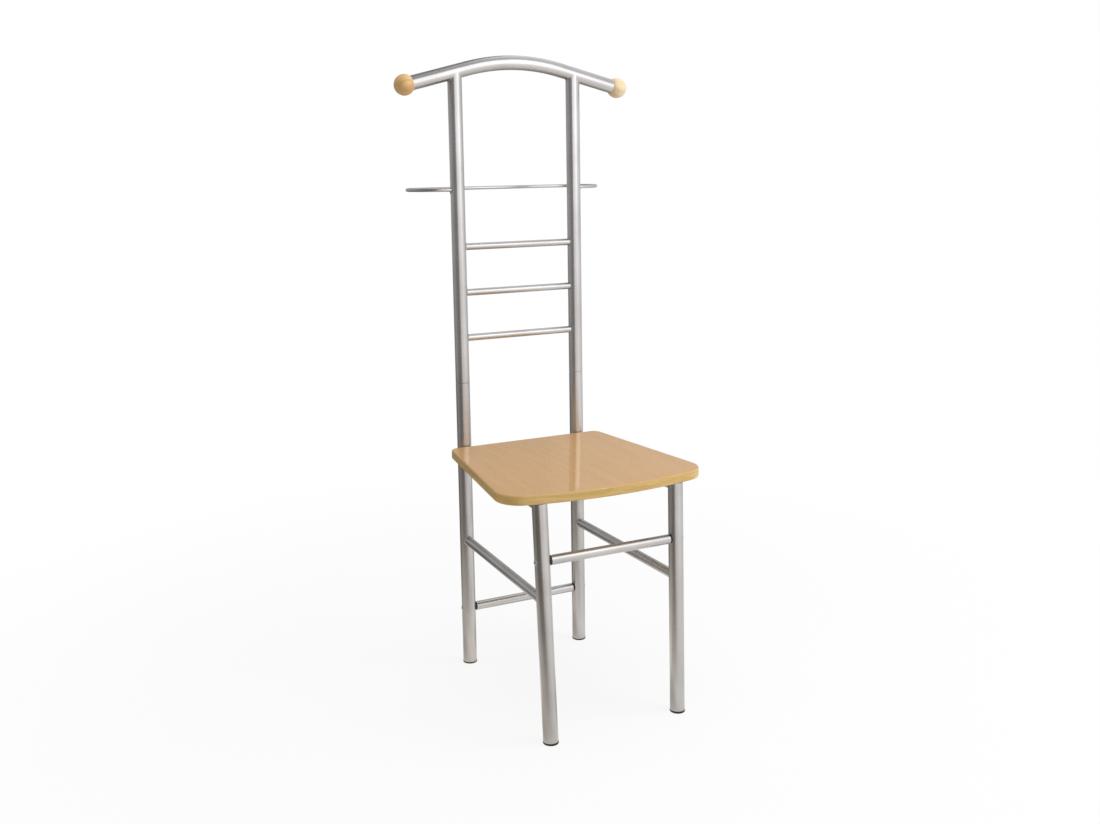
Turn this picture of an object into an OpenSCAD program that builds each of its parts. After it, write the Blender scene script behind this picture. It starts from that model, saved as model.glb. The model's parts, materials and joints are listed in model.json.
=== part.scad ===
// Clothes valet chair: a leaning ladder back with a hanger bar, a bent rod hoop
// and three rungs, plugged into a four-legged steel base with a wooden seat.
// Millimetres. X to the viewer's right, the front faces -Y, Z up.
// The origin is on the floor, under the middle of the outer box.

/* [Overall] */
// Height of the top of the hanger bar above the floor
total_height = 1100; // [950:5:1250]
// Height of the seat's upper face above the floor
seat_height = 413; // [380:1:470]
// Distance from the rear feet to the front feet, centre to centre
foot_depth = 342; // [300:1:400]
// Lean of the back and rear posts, in degrees
back_lean = 1.8; // [0.5:0.1:4]
// Lean of the front legs, in degrees
leg_lean = 4.1; // [1:0.1:6]
// Angle by which the front legs close in towards the floor, in degrees
leg_toe = 0.8; // [0:0.1:2]

/* [Main tubes] */
// Outer diameter of posts, legs, uprights and hanger bar
tube_d = 25; // [20:0.5:30]
// Wall thickness of the main tubes
tube_wall = 1.5; // [1.2:0.1:2.5]
// Distance between the uprights, centre to centre
post_gap = 230; // [200:1:280]
// Distance between the front feet, centre to centre
foot_gap = 242; // [200:1:290]

/* [Plug joint] */
// Height of the joint between posts and uprights
joint_height = 527; // [490:1:560]
// Rounding of the tube ends that meet at the joint
end_round = 1.1; // [0.6:0.1:1.2]
// Depth of the spigot in the lower post
spigot_depth = 60; // [40:1:80]
// Length of the spigot in the upright
spigot_root = 40; // [25:1:60]
// Radial clearance of the spigot in the lower post
spigot_clearance = 0.08; // [0.05:0.01:0.1]
// Wall thickness of the spigot
spigot_wall = 2; // [1.5:0.1:3]
// Radial clearance of everything that is fixed inside a tube
seat_clearance = 0.03; // [0.02:0.01:0.05]

/* [Hanger bar] */
// Distance between the centres of the two end balls
ball_gap = 414; // [380:1:460]
// Bend radius of the bar's middle, to its centre line
bar_radius = 367; // [300:1:420]
// Slope of the bar's arms, in degrees
bar_slope = 14.2; // [10:0.1:17]
// Diameter of the wooden end balls
ball_d = 36; // [32:0.5:44]
// Length of the ball's tenon in the bar
tenon_length = 16; // [10:1:24]

/* [Rungs] */
// Height of the lowest rung
rung_height = 607; // [590:1:640]
// Distance from rung to rung
rung_pitch = 81; // [60:1:90]
// Outer diameter of a rung
rung_d = 12; // [10:0.5:14]
// Wall thickness of a rung
rung_wall = 1; // [0.8:0.1:1.5]

/* [Rod hoop] */
// Height of the hoop
hoop_height = 869; // [840:1:920]
// Diameter of the hoop's rod
hoop_rod_d = 6; // [5:0.5:8]
// Bend radius of the hoop's ends, to the rod's centre line
hoop_radius = 55; // [40:1:65]
// Overall length of the hoop
hoop_length = 374; // [350:1:400]

/* [Stretchers] */
// Outer diameter of stretchers and seat rails
stretcher_d = 16; // [14:0.5:19]
// Wall thickness of stretchers and seat rails
stretcher_wall = 1.2; // [1:0.1:1.5]
// Height of the rear stretcher
rear_stretcher_height = 105; // [80:1:160]
// Height of the front stretcher
front_stretcher_height = 301; // [270:1:320]
// Height of the side stretchers
side_stretcher_height = 235; // [200:1:245]
// Length of the threaded insert in a stretcher's end
insert_length = 20; // [16:1:30]
// Thickness of an insert's flange at its thinnest
insert_flange = 2; // [1:0.1:3]
// Diameter of the insert's flange
insert_flange_d = 15; // [13.5:0.5:16]

/* [Bolts and screws] */
// Thread diameter of the frame bolts
bolt_d = 6; // [5:0.5:8]
// Length of a frame bolt under its head
bolt_length = 40; // [36:1:44]
// Diameter of a frame bolt's domed head
bolt_head_d = 10.5; // [9:0.5:13]
// Height of a frame bolt's head
bolt_head_h = 3.3; // [2.5:0.1:4]
// Width across flats of the bolt's hexagon socket
bolt_socket = 4; // [3:0.5:5]
// Diametral clearance of a bolt or screw in the tubes it passes through
bolt_clearance = 0.5; // [0.3:0.1:0.8]
// Shank diameter of the seat screws
screw_d = 4; // [3:0.5:5]
// How far a seat screw goes into the board
screw_bite = 11; // [8:0.5:12]
// Diameter of a seat screw's head
screw_head_d = 8; // [7:0.5:9]
// Height of a seat screw's head
screw_head_h = 2.6; // [2:0.1:3.5]
// Distance of a seat screw from the leg or post at its end of the rail
screw_inset = 60; // [40:1:90]

/* [Seat board] */
// Width of the board at its back edge
seat_back_width = 298; // [270:1:330]
// Width of the board at its front corners, before they are rounded
seat_front_width = 383; // [350:1:410]
// Depth of the board at its middle
seat_depth = 336; // [330:1:380]
// How far the middle of the front edge stands out from the corners
seat_bow = 27.5; // [15:0.5:35]
// Thickness of the board
seat_thickness = 16; // [14:0.5:20]
// Corner radius at the front
front_corner_r = 42; // [25:1:60]
// Corner radius at the back
back_corner_r = 15; // [8:1:25]
// Rounding of the board's edges
edge_round = 2.5; // [1:0.5:4]
// Gap between the board's back edge and the posts
seat_gap = 3; // [0.5:0.5:6]

/* [Foot glides] */
// Thickness of a glide's flange at its thinnest
glide_flange = 2; // [1.5:0.1:4]
// How far a glide's flange stands out round the tube
glide_lip = 0.4; // [0:0.1:1]
// Length of a glide's plug in the tube
glide_plug = 16; // [10:1:25]

/* [Hidden] */
$fn = 96;

steel = [0.72, 0.71, 0.69];
zinc = [0.80, 0.80, 0.78];
beech = [0.80, 0.66, 0.50];
black = [0.10, 0.10, 0.11];

tube_r = tube_d / 2;
bore_r = tube_r - tube_wall;
rear_half = post_gap / 2;
front_half = foot_gap / 2;
seat_under = seat_height - seat_thickness;

// Neighbouring lengths of one bar or rim run into each other by the lap, and a
// bent length is slimmer by the step, so that each meets the next at a clean edge
lap = 0.4;
step = 0.02;

// Distances along the leaning back, measured from the floor
joint_s = joint_height / cos(back_lean);
bar_s = (total_height - tube_r) / cos(back_lean);
hoop_s = hoop_height / cos(back_lean);

// Unit directions of the rear posts and of a front leg on side s (-1 left, 1 right)
rear_dir = [0, sin(back_lean), cos(back_lean)];
function leg_dir(s) =
  [cos(leg_lean) * sin(leg_toe) * s, sin(leg_lean), cos(leg_lean) * cos(leg_toe)];

// Points on the axes of a rear post and of a front leg at height z
function rear_at(s, z) = [s * rear_half, 0, 0] + rear_dir * (z / rear_dir.z);
function front_at(s, z) = [s * front_half, -foot_depth, 0] + leg_dir(s) * (z / leg_dir(s).z);

// Seat outline: back edge, side lines, bowed front arc and their rounded corners
seat_back_y = rear_at(1, seat_height).y - tube_r / cos(back_lean) - seat_gap;
back_half = seat_back_width / 2;
corner_half = seat_front_width / 2;
side_run = seat_depth - seat_bow;
bow_r = (corner_half * corner_half + seat_bow * seat_bow) / (2 * seat_bow);
bow_y = seat_back_y - seat_depth + bow_r;
side_turn = atan((corner_half - back_half) / side_run);
side_dir = [sin(side_turn), -cos(side_turn)];
side_in = [-cos(side_turn), -sin(side_turn)];
side_start = [back_half, seat_back_y];
// Centre of the rounded back corner, and its distance along the side line
back_corner_s = back_corner_r * (1 + side_in.y) / cos(side_turn);
back_corner_c = side_start + side_dir * back_corner_s + side_in * back_corner_r;
// Centre of the rounded front corner: it touches the side line and the bow
front_q = side_start + side_in * front_corner_r - [0, bow_y];
front_reach = bow_r - front_corner_r;
front_b = front_q * side_dir;
front_corner_s = -front_b + sqrt(front_b * front_b - front_q * front_q + front_reach * front_reach);
front_corner_c = side_start + side_dir * front_corner_s + side_in * front_corner_r;
// Angle of the bow, each side of the middle, up to the corner
bow_half = atan(front_corner_c.x / (bow_y - front_corner_c.y));
// Angle by which the bowed edge runs on into the corners
bow_lap = lap / bow_r * 180 / PI;

// Seat rails
rail_z = seat_under - stretcher_d / 2;
function rail_end(s, front) = front ? front_at(s, rail_z) : rear_at(s, rail_z);
rail_run = norm(rail_end(1, true) - rail_end(1, false));
// Points where a screw goes up through a rail
function rail_point(s, t) = rail_end(s, false) + (rail_end(s, true) - rail_end(s, false)) * t;
screw_t = (tube_r + screw_inset) / rail_run;

// Middle of the outer box from front to back
front_most = min(-foot_depth - (tube_r + glide_lip) / cos(leg_lean), seat_back_y - seat_depth);
hoop_back = hoop_s * sin(back_lean) + (2 * hoop_radius + hoop_rod_d / 2) * cos(back_lean);
back_most = max(hoop_back, total_height * tan(back_lean) + tube_r);
middle_y = (front_most + back_most) / 2;

// The hanger bar's arms
arm_x = bar_radius * sin(bar_slope);
arm_drop = bar_radius * (1 - cos(bar_slope));
arm_run = (ball_gap / 2 - arm_x) / cos(bar_slope);
// Distance from a ball's centre to the flat that meets the tube's end
ball_flat = sqrt(ball_d * ball_d / 4 - tube_r * tube_r);

far = 3 * total_height;

// Moves a piece from the frame of the rear feet to the middle of the box
module home() {
  translate([0, -middle_y, 0]) children();
}

// The leaning frame of the back: Z runs up along the posts
module leaning() {
  rotate([-back_lean, 0, 0]) children();
}

// The frame of a front leg: Z runs up along the leg from the floor
module legwise(s) {
  translate([s * front_half, -foot_depth, 0]) rotate([-leg_lean, leg_toe * s, 0]) children();
}

// The frame of a rear post
module postwise(s) {
  translate([s * rear_half, 0, 0]) leaning() children();
}

// Everything above height z
module above(z) {
  translate([-far, -far, z]) cube([2 * far, 2 * far, far]);
}

// A round bar between two points
module rod(p, q, d) {
  v = q - p;
  run = norm(v);
  translate(p)
    rotate([0, acos(v.z / run), atan2(v.y, v.x)])
    cylinder(d = d, h = run);
}

// A straight piece of main tube from a to b along Z, with its rounded end or ends
module main_tube(a, b, round_a, round_b) {
  steps = [0, 30, 60, 90];
  low = round_a > 0
    ? [for (t = steps) [tube_r - round_a + round_a * sin(t), a + round_a - round_a * cos(t)]]
    : [[tube_r, a]];
  high = round_b > 0
    ? [for (t = steps) [tube_r - round_b + round_b * cos(t), b - round_b + round_b * sin(t)]]
    : [[tube_r, b]];
  rotate_extrude() polygon(concat([[bore_r, a]], low, high, [[bore_r, b]]));
}

// Solid bars in the place of the main tubes, used to cope what meets them
module post_solid(s) {
  postwise(s) cylinder(r = tube_r, h = joint_s);
}

module leg_solid(s) {
  legwise(s) translate([0, 0, -tube_d]) cylinder(r = tube_r, h = seat_height + 2 * tube_d);
}

// Lower end of a tube that leans by the angle a, so that its glide stays thick enough
function foot_s(a) = glide_flange + (tube_r + glide_lip) * tan(a);

module rear_post(s) {
  color(steel) home()
    difference() {
      postwise(s) main_tube(foot_s(back_lean), joint_s, 0, end_round);
      bolt_hole(rear_at(s, rear_stretcher_height), s);
    }
}

module front_leg(s) {
  color(steel) home()
    difference() {
      legwise(s) main_tube(foot_s(leg_lean), seat_height + tube_d, 0, 0);
      above(seat_under);
      bolt_hole(front_at(s, front_stretcher_height), s);
    }
}

// A hole along X through both walls of the tube whose axis passes through p
module bolt_hole(p, s) {
  rod(p - [tube_d * s, 0, 0], p + [tube_d * s, 0, 0], bolt_d + bolt_clearance);
}

// A tube between two axis points, open inside
module cross_tube(p, q, d, wall) {
  difference() {
    rod(p, q, d);
    rod(p - (q - p), q + (q - p), d - 2 * wall);
  }
}

module side_stretcher(s) {
  color(steel) home()
    difference() {
      cross_tube(rear_at(s, side_stretcher_height), front_at(s, side_stretcher_height),
        stretcher_d, stretcher_wall);
      post_solid(s);
      leg_solid(s);
    }
}

module seat_rail(s) {
  color(steel) home()
    difference() {
      cross_tube(rail_end(s, false), rail_end(s, true), stretcher_d, stretcher_wall);
      post_solid(s);
      leg_solid(s);
      for (t = [screw_t, 1 - screw_t])
        translate(rail_point(s, t) - [0, 0, stretcher_d])
          cylinder(d = screw_d + bolt_clearance, h = 2 * stretcher_d);
    }
}

// A stretcher between two posts or legs: its tube ends square, at the flanges
// of its inserts. The reach is half the distance between the tubes' faces.
module cross_stretcher(p, reach) {
  half = reach - insert_flange;
  cross_tube([-half, p.y, p.z], [half, p.y, p.z], stretcher_d, stretcher_wall);
}

// Half the clear distance between the tubes at the height of a stretcher
rear_reach = rear_at(1, rear_stretcher_height).x - tube_r;
front_reach_x = front_at(1, front_stretcher_height).x - tube_r / cos(leg_toe);

module front_stretcher() {
  color(steel) home() cross_stretcher(front_at(1, front_stretcher_height), front_reach_x);
}

module rear_stretcher() {
  color(steel) home() cross_stretcher(rear_at(1, rear_stretcher_height), rear_reach);
}

// A threaded plug in a stretcher's end: a flange against the post or leg,
// hollowed to fit it, and a round body inside the stretcher
module insert(p, reach, s) {
  body_d = stretcher_d - 2 * stretcher_wall - 2 * seat_clearance;
  difference() {
    union() {
      rod([s * (reach - insert_flange), p.y, p.z], [s * (reach + insert_flange), p.y, p.z],
        insert_flange_d);
      rod([s * (reach - insert_length), p.y, p.z], [s * reach, p.y, p.z], body_d);
    }
    rod([s * (reach - 2 * insert_length), p.y, p.z], [s * (reach + tube_d), p.y, p.z],
      bolt_d + 2 * seat_clearance);
    children();
  }
}

module stretcher_inserts() {
  color(black) home()
    for (s = [-1, 1]) {
      insert(front_at(s, front_stretcher_height), front_reach_x, s) leg_solid(s);
      insert(rear_at(s, rear_stretcher_height), rear_reach, s) post_solid(s);
    }
}

// A bolt along X with a domed head outside the tube whose axis passes through p
module frame_bolt(p, s) {
  dome_r = (bolt_head_d * bolt_head_d / 4 + bolt_head_h * bolt_head_h) / (2 * bolt_head_h);
  translate(p + [s * tube_r, 0, 0]) rotate([0, 90 * s, 0])
    difference() {
      union() {
        intersection() {
          translate([0, 0, bolt_head_h - dome_r]) sphere(r = dome_r);
          cylinder(d = bolt_head_d, h = bolt_head_h);
        }
        translate([0, 0, -bolt_length]) cylinder(d = bolt_d, h = bolt_length + bolt_head_h / 3);
      }
      translate([0, 0, bolt_head_h / 2])
        cylinder(d = bolt_socket / cos(30), h = bolt_head_h, $fn = 6);
    }
}

module frame_bolts() {
  color(zinc) home()
    for (s = [-1, 1]) {
      difference() {
        frame_bolt(front_at(s, front_stretcher_height), s);
        difference() {
          leg_solid(s);
          bolt_hole(front_at(s, front_stretcher_height), s);
        }
      }
      frame_bolt(rear_at(s, rear_stretcher_height), s);
    }
}

// Profile of the board's rounded rim: x outwards from in_x to out_x, y up
function rim(in_x, out_x) =
  concat(
    [[in_x, 0]],
    [for (t = [0 : 30 : 90])
      [out_x - edge_round + edge_round * sin(t), edge_round - edge_round * cos(t)]],
    [for (t = [90 : -30 : 0])
      [out_x - edge_round + edge_round * sin(t), seat_thickness - edge_round + edge_round * cos(t)]],
    [[in_x, seat_thickness]]
  );

// Right half of the board's rim: back corner, side and front corner. The corners are
// whole discs, of which only the outer part stands free.
module rim_half() {
  translate(back_corner_c) rotate_extrude() polygon(rim(0, back_corner_r - step));
  translate(side_start + side_dir * (back_corner_s - lap))
    rotate([90, 0, side_turn])
    linear_extrude(front_corner_s - back_corner_s + 2 * lap) polygon(rim(-back_corner_r, 0));
  translate(front_corner_c) rotate_extrude() polygon(rim(0, front_corner_r - step));
}

module board() {
  inner_side = side_in * back_corner_r / 2;
  side_a = side_start + side_dir * back_corner_s + inner_side;
  side_b = side_start + side_dir * front_corner_s + inner_side;
  union() {
    rim_half();
    mirror([1, 0, 0]) rim_half();
    // back edge
    translate([-back_corner_c.x - lap, seat_back_y, 0])
      rotate([90, 0, 90])
      linear_extrude(2 * back_corner_c.x + 2 * lap) polygon(rim(-back_corner_r, 0));
    // bowed front edge
    translate([0, bow_y, 0])
      intersection() {
        rotate_extrude($fn = 360) polygon(rim(0, bow_r));
        linear_extrude(seat_thickness)
          polygon([for (q = [[-1, -1], [-1, 1], [1, 1], [1, -1]])
            [q.x * sin(bow_half + bow_lap), -cos(bow_half + bow_lap)] * (bow_r + q.y * seat_depth / 2)]);
      }
    // middle
    linear_extrude(seat_thickness)
      polygon([
        side_a, side_b, front_corner_c, [-front_corner_c.x, front_corner_c.y],
        [-side_b.x, side_b.y], [-side_a.x, side_a.y]
      ]);
  }
}

module seat_board() {
  color(beech) home()
    difference() {
      translate([0, 0, seat_under]) board();
      for (s = [-1, 1], t = [screw_t, 1 - screw_t])
        translate([rail_point(s, t).x, rail_point(s, t).y, seat_under - 1])
          cylinder(d = screw_d + 2 * seat_clearance, h = screw_bite + 1.5);
    }
}

module seat_screws() {
  color(zinc) home()
    for (s = [-1, 1], t = [screw_t, 1 - screw_t])
      translate([rail_point(s, t).x, rail_point(s, t).y, seat_under]) {
        translate([0, 0, -stretcher_d - screw_head_h]) cylinder(d = screw_head_d, h = screw_head_h);
        translate([0, 0, -stretcher_d - 1]) cylinder(d = screw_d, h = stretcher_d + 1 + screw_bite);
      }
}

// A plastic foot: a flange under the tube's end, cut level with the floor, and a plug
module glide(a) {
  s = foot_s(a);
  translate([0, 0, -glide_flange]) cylinder(r = tube_r + glide_lip, h = s + glide_flange);
  translate([0, 0, s - glide_flange])
    cylinder(r = bore_r - seat_clearance, h = glide_plug + glide_flange);
}

module rear_glide(s) {
  color(black) home() intersection() {
    postwise(s) glide(back_lean);
    above(0);
  }
}

module front_glide(s) {
  color(black) home() intersection() {
    legwise(s) glide(leg_lean);
    above(0);
  }
}

// Solid bar in the place of the hanger bar, with diameter d and arms of the given length
module bar_solid(d, arm) {
  translate([0, 0, bar_s]) {
    translate([0, 0, -bar_radius])
      rotate([90, 0, 0])
      rotate([0, 0, 90 - bar_slope])
      rotate_extrude(angle = 2 * bar_slope, $fn = 180)
      translate([bar_radius, 0]) circle(d = d - 2 * step);
    for (s = [-1, 1])
      translate([s * arm_x, 0, -arm_drop])
        rotate([0, s * (90 + bar_slope), 0])
        translate([0, 0, -lap])
        cylinder(d = d, h = arm + lap);
  }
}

module upright(s) {
  color(steel) home() leaning()
    difference() {
      // the tube ends a little below the bar's axis, so that nothing stands up beside it
      difference() {
        translate([s * rear_half, 0, 0]) main_tube(joint_s, bar_s - arm_drop, end_round, 0);
        translate([s * arm_x, 0, bar_s - arm_drop])
          rotate([0, s * bar_slope, 0])
          above(-tube_wall);
      }
      bar_solid(tube_d, arm_run);
    }
}

// The sleeve that is fixed in an upright and slides into the post below
module spigot(s) {
  root_r = bore_r - seat_clearance;
  slide_r = bore_r - spigot_clearance;
  in_r = slide_r - spigot_wall;
  color(zinc) home() leaning()
    translate([s * rear_half, 0, joint_s])
    rotate_extrude() polygon([
      [in_r, -spigot_depth], [slide_r - 1, -spigot_depth], [slide_r, -spigot_depth + 2],
      [slide_r, 0], [root_r, 0.5], [root_r, spigot_root], [in_r, spigot_root]
    ]);
}

module hanger_bar() {
  color(steel) home() leaning()
    difference() {
      bar_solid(tube_d, arm_run - ball_flat);
      bar_solid(2 * bore_r, arm_run);
    }
}

// A turned ball with a flat seat and a tenon for the bar's end
module ball(s) {
  color(beech) home() leaning()
    translate([s * arm_x, 0, bar_s - arm_drop])
    rotate([0, s * (90 + bar_slope), 0])
    translate([0, 0, arm_run]) {
      intersection() {
        sphere(d = ball_d);
        translate([-ball_d, -ball_d, -ball_flat]) cube([2 * ball_d, 2 * ball_d, 2 * ball_d]);
      }
      translate([0, 0, -ball_flat - tenon_length])
        cylinder(r = bore_r - seat_clearance, h = tenon_length + ball_flat);
    }
}

// A rung with coped ends between the uprights
module rung(z) {
  p = [rear_half, 0, z / cos(back_lean)];
  color(steel) home() leaning()
    difference() {
      cross_tube([-p.x, 0, p.z], p, rung_d, rung_wall);
      for (s = [-1, 1])
        translate([s * rear_half, 0, joint_s]) cylinder(r = tube_r, h = bar_s - joint_s);
    }
}

// The bent rod: from one upright's outer side, round behind both, to the other's
module rod_hoop() {
  end_x = hoop_length / 2 - hoop_rod_d / 2 - hoop_radius;
  back_y = 2 * hoop_radius;
  color(steel) home() leaning()
    difference() {
      translate([0, 0, hoop_s]) {
        for (s = [-1, 1])
          translate([s * end_x, hoop_radius, 0])
            rotate([0, 0, s > 0 ? -90 : 90])
            rotate_extrude(angle = 180) translate([hoop_radius, 0]) circle(d = hoop_rod_d);
        for (s = [-1, 1])
          rod([s * rear_half, 0, 0], [s * end_x, 0, 0], hoop_rod_d);
        rod([-end_x, back_y, 0], [end_x, back_y, 0], hoop_rod_d);
      }
      for (s = [-1, 1])
        translate([s * rear_half, 0, joint_s]) cylinder(r = tube_r, h = bar_s - joint_s);
    }
}

rear_post(-1);  // left_rear_post
rear_post(1);  // right_rear_post
front_leg(-1);  // left_front_leg
front_leg(1);  // right_front_leg
side_stretcher(-1);  // left_side_stretcher
side_stretcher(1);  // right_side_stretcher
seat_rail(-1);  // left_seat_rail
seat_rail(1);  // right_seat_rail
front_stretcher();
rear_stretcher();
stretcher_inserts();
frame_bolts();
seat_board();
seat_screws();
rear_glide(-1);  // left_rear_glide
rear_glide(1);  // right_rear_glide
front_glide(-1);  // left_front_glide
front_glide(1);  // right_front_glide
upright(-1);  // left_upright
upright(1);  // right_upright
spigot(-1);  // left_spigot
spigot(1);  // right_spigot
hanger_bar();
ball(-1);  // left_ball
ball(1);  // right_ball
rung(rung_height + 2 * rung_pitch);  // upper_rung
rung(rung_height + rung_pitch);  // middle_rung
rung(rung_height);  // lower_rung
rod_hoop();
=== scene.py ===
"""Clothes valet chair: a leaning ladder back of silver steel tube plugged into a four-legged
base with a lacquered beech seat. Metres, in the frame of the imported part: X to the viewer's
right, the front faces -Y, Z up, the floor at z = 0."""

import json
import math

import bpy
import numpy as np
from mathutils import Matrix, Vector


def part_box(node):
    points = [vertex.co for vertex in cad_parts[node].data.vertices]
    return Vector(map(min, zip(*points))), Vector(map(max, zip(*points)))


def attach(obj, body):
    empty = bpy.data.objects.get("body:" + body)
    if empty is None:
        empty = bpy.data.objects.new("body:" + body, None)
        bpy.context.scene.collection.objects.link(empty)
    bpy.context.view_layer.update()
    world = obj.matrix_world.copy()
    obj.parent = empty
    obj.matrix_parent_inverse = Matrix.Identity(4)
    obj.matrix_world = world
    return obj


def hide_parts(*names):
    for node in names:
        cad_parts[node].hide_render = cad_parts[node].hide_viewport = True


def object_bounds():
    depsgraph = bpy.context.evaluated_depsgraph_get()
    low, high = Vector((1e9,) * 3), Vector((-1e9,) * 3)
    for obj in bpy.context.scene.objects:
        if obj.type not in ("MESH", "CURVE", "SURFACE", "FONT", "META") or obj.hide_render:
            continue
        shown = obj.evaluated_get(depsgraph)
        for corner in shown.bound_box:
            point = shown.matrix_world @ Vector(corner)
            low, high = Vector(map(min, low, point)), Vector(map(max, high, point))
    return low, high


bl_info = {
    "name": "Clothes valet chair",
    "version": (1, 0, 0),
    "blender": (4, 5, 0),
    "location": "View3D > Sidebar > Valet chair",
    "description": "Builds the visible surfaces, finishes and studio of a clothes valet chair",
    "category": "Object",
}

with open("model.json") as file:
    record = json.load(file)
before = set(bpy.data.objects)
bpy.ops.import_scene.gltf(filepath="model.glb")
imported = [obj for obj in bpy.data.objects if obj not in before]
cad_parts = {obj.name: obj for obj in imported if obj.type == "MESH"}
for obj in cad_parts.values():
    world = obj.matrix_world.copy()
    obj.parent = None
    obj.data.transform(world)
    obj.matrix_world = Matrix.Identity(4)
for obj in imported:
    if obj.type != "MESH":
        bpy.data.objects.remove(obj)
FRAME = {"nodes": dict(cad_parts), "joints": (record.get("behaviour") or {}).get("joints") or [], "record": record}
CAD_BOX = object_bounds()
UP = np.array(FRAME["joints"][0]["axis"], float)  # the back's uprights and the rear posts
SIDES = ((-1, "left"), (1, "right"))
PLAIN = (1.0, 1.0, 1.0)  # no tint

FINISHES = {  # of the material slots that CAD nodes and new pieces share
    "silver_tube": "silver_lacquered_steel",
    "zinc_steel": "bright_zinc_plated_steel",
    "black_plastic": "moulded_black_polyethylene",
}


# ---- sizes from the frame


def middle(node):
    """Middle of a node's box."""
    low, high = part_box(node)
    return (np.array(low) + np.array(high)) / 2


def extent(node):
    """Size of a node's box along X, Y and Z."""
    low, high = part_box(node)
    return np.array(high) - np.array(low)


TUBE_R = extent("right_rear_post")[0] / 2
RUNG_R = extent("lower_rung")[2] / 2
STRETCHER_R = extent("front_stretcher")[2] / 2
HOOP_R = 0.003  # the hoop's rod is 6 mm across
SEAT_LOW, SEAT_HIGH = (np.array(corner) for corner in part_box("seat_board"))
REAR_X = middle("right_rear_post")[0]
REAR_Y = middle("right_rear_glide")[1]
FRONT_FOOT = middle("right_front_glide") * [1, 1, 0]


def number(name, description, default, **kind):
    """A property for a number."""
    return bpy.props.FloatProperty(
        name=name, description=description, default=default, **kind)


def metres(name, description, default):
    """A property for a length."""
    return number(name, description, default, unit="LENGTH")


def degrees(name, description, default):
    """A property for an angle, whose default is given in degrees."""
    return number(name, description, math.radians(default), subtype="ANGLE")


def srgb(name, description, default):
    """A property for a colour, as an sRGB hex value."""
    return bpy.props.StringProperty(name=name, description=description, default=default)


class ChairSizes(bpy.types.PropertyGroup):
    """Sizes of the pieces that are dressed here"""

    leg_lean: degrees("Leg lean", "Lean of the front legs towards the back", 4.1)
    leg_toe: degrees("Leg toe", "How far the front legs close in towards the floor", 0.8)
    bar_radius: metres("Bar radius", "Bend radius of the hanger bar, to its centre line", 0.367)
    bar_slope: degrees("Bar slope", "Slope of the hanger bar's arms", 14.2)
    seat_back_width: metres("Seat back width", "Width of the seat's back edge", 0.298)
    seat_front_width: metres(
        "Seat front width", "Width of the seat at its front corners", 0.383)
    seat_bow: metres("Seat bow", "How far the middle of the front edge stands out", 0.0275)
    seat_front_corner: metres("Front corner", "Radius of the seat's front corners", 0.042)
    seat_back_corner: metres("Back corner", "Radius of the seat's back corners", 0.015)
    seat_edge: metres("Edge rounding", "Rounding of the seat's upper and lower edges", 0.0025)
    weld_leg: metres("Weld size", "Leg length of the weld beads on the stretchers", 0.0016)
    weld_pitch: metres("Weld ripple", "Spacing of the ripples along a weld bead", 0.0018)
    glide_lip: metres("Glide lip", "How far a foot glide stands out round the tube", 0.0004)
    glide_plug: metres("Glide plug", "Length of a glide's plug in the tube", 0.016)
    tube_wall: metres("Tube wall", "Wall thickness of the main tubes", 0.0015)
    screw_inset: metres("Screw inset", "Distance of a seat screw from the leg or post", 0.060)
    screw_head: metres("Screw head", "Diameter of a seat screw's head", 0.008)
    bolt_head: metres("Bolt head", "Diameter of a frame bolt's head", 0.0095)
    bolt_rise: metres("Bolt head height", "How far a frame bolt's head stands out", 0.0016)
    bolt_shank: metres("Bolt shank", "Diameter of a frame bolt's shank", 0.006)


class ChairColours(bpy.types.PropertyGroup):
    """Colours of the finishes, as sRGB hex values"""

    silver: srgb("Silver", "Silver lacquer on the steel tubes", "#CCCACA")
    silver_shade: srgb("Silver, darker", "The lacquer where its flakes lie thicker", "#C2BFBF")
    zinc: srgb("Zinc", "Bright zinc plating", "#C9CACB")
    seat_light: srgb("Seat, light", "Early wood of the seat's veneer", "#D9A96B")
    seat_dark: srgb("Seat, dark", "Late wood of the seat's veneer", "#D3A164")
    seat_fleck: srgb("Seat flecks", "Ray flecks in the seat's veneer", "#BE894E")
    backing: srgb("Seat underside", "Veneer under the seat", "#CDB797")
    backing_dark: srgb("Seat underside, dark", "Late wood in that veneer", "#C0A886")
    edge: srgb("Seat edge", "Beech lipping round the seat", "#E3C07A")
    edge_dark: srgb("Seat edge, dark", "Darker streaks in the lipping", "#CFA75F")
    # Both balls are the same beech: the right ball's colours are painted paler, standing in for the stronger light
    # and broad sheen that fall on it.
    left_ball: srgb("Left ball", "Turned beech, the redder piece", "#E6BE82")
    left_ball_dark: srgb("Left ball, dark", "Its late wood", "#D5A465")
    right_ball: srgb("Right ball", "Turned beech, the paler piece", "#F3DDB8")
    right_ball_dark: srgb("Right ball, dark", "Its late wood", "#E9CDA0")
    plastic: srgb("Plastic", "Black polyethylene", "#1A1A1B")


class ChairStudio(bpy.types.PropertyGroup):
    """Camera and light"""

    camera_place: bpy.props.FloatVectorProperty(
        name="Camera", description="Where the camera stands",
        default=(-0.947119, -1.852419, 0.976731), subtype="TRANSLATION", unit="LENGTH")
    yaw: degrees("Yaw", "Turn of the camera from +Y towards +X", 27.0216)
    pitch: degrees("Pitch", "How far the camera looks down", 10.9458)
    roll: degrees("Roll", "Turn of the camera about its own axis", -0.0483)
    focal: number("Focal length", "For a 36 mm sensor", 39.8764)
    shift: number("Shift", "Vertical shift, as a share of the image's width", -0.045)
    key: number("Key light", "Power of the front right softbox", 40.0)
    top: number("Top light", "Power of the softbox overhead", 36.0)
    ambient: number("Ambient", "Strength of the soft light from all round", 0.33)


# ---- small tools


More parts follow.
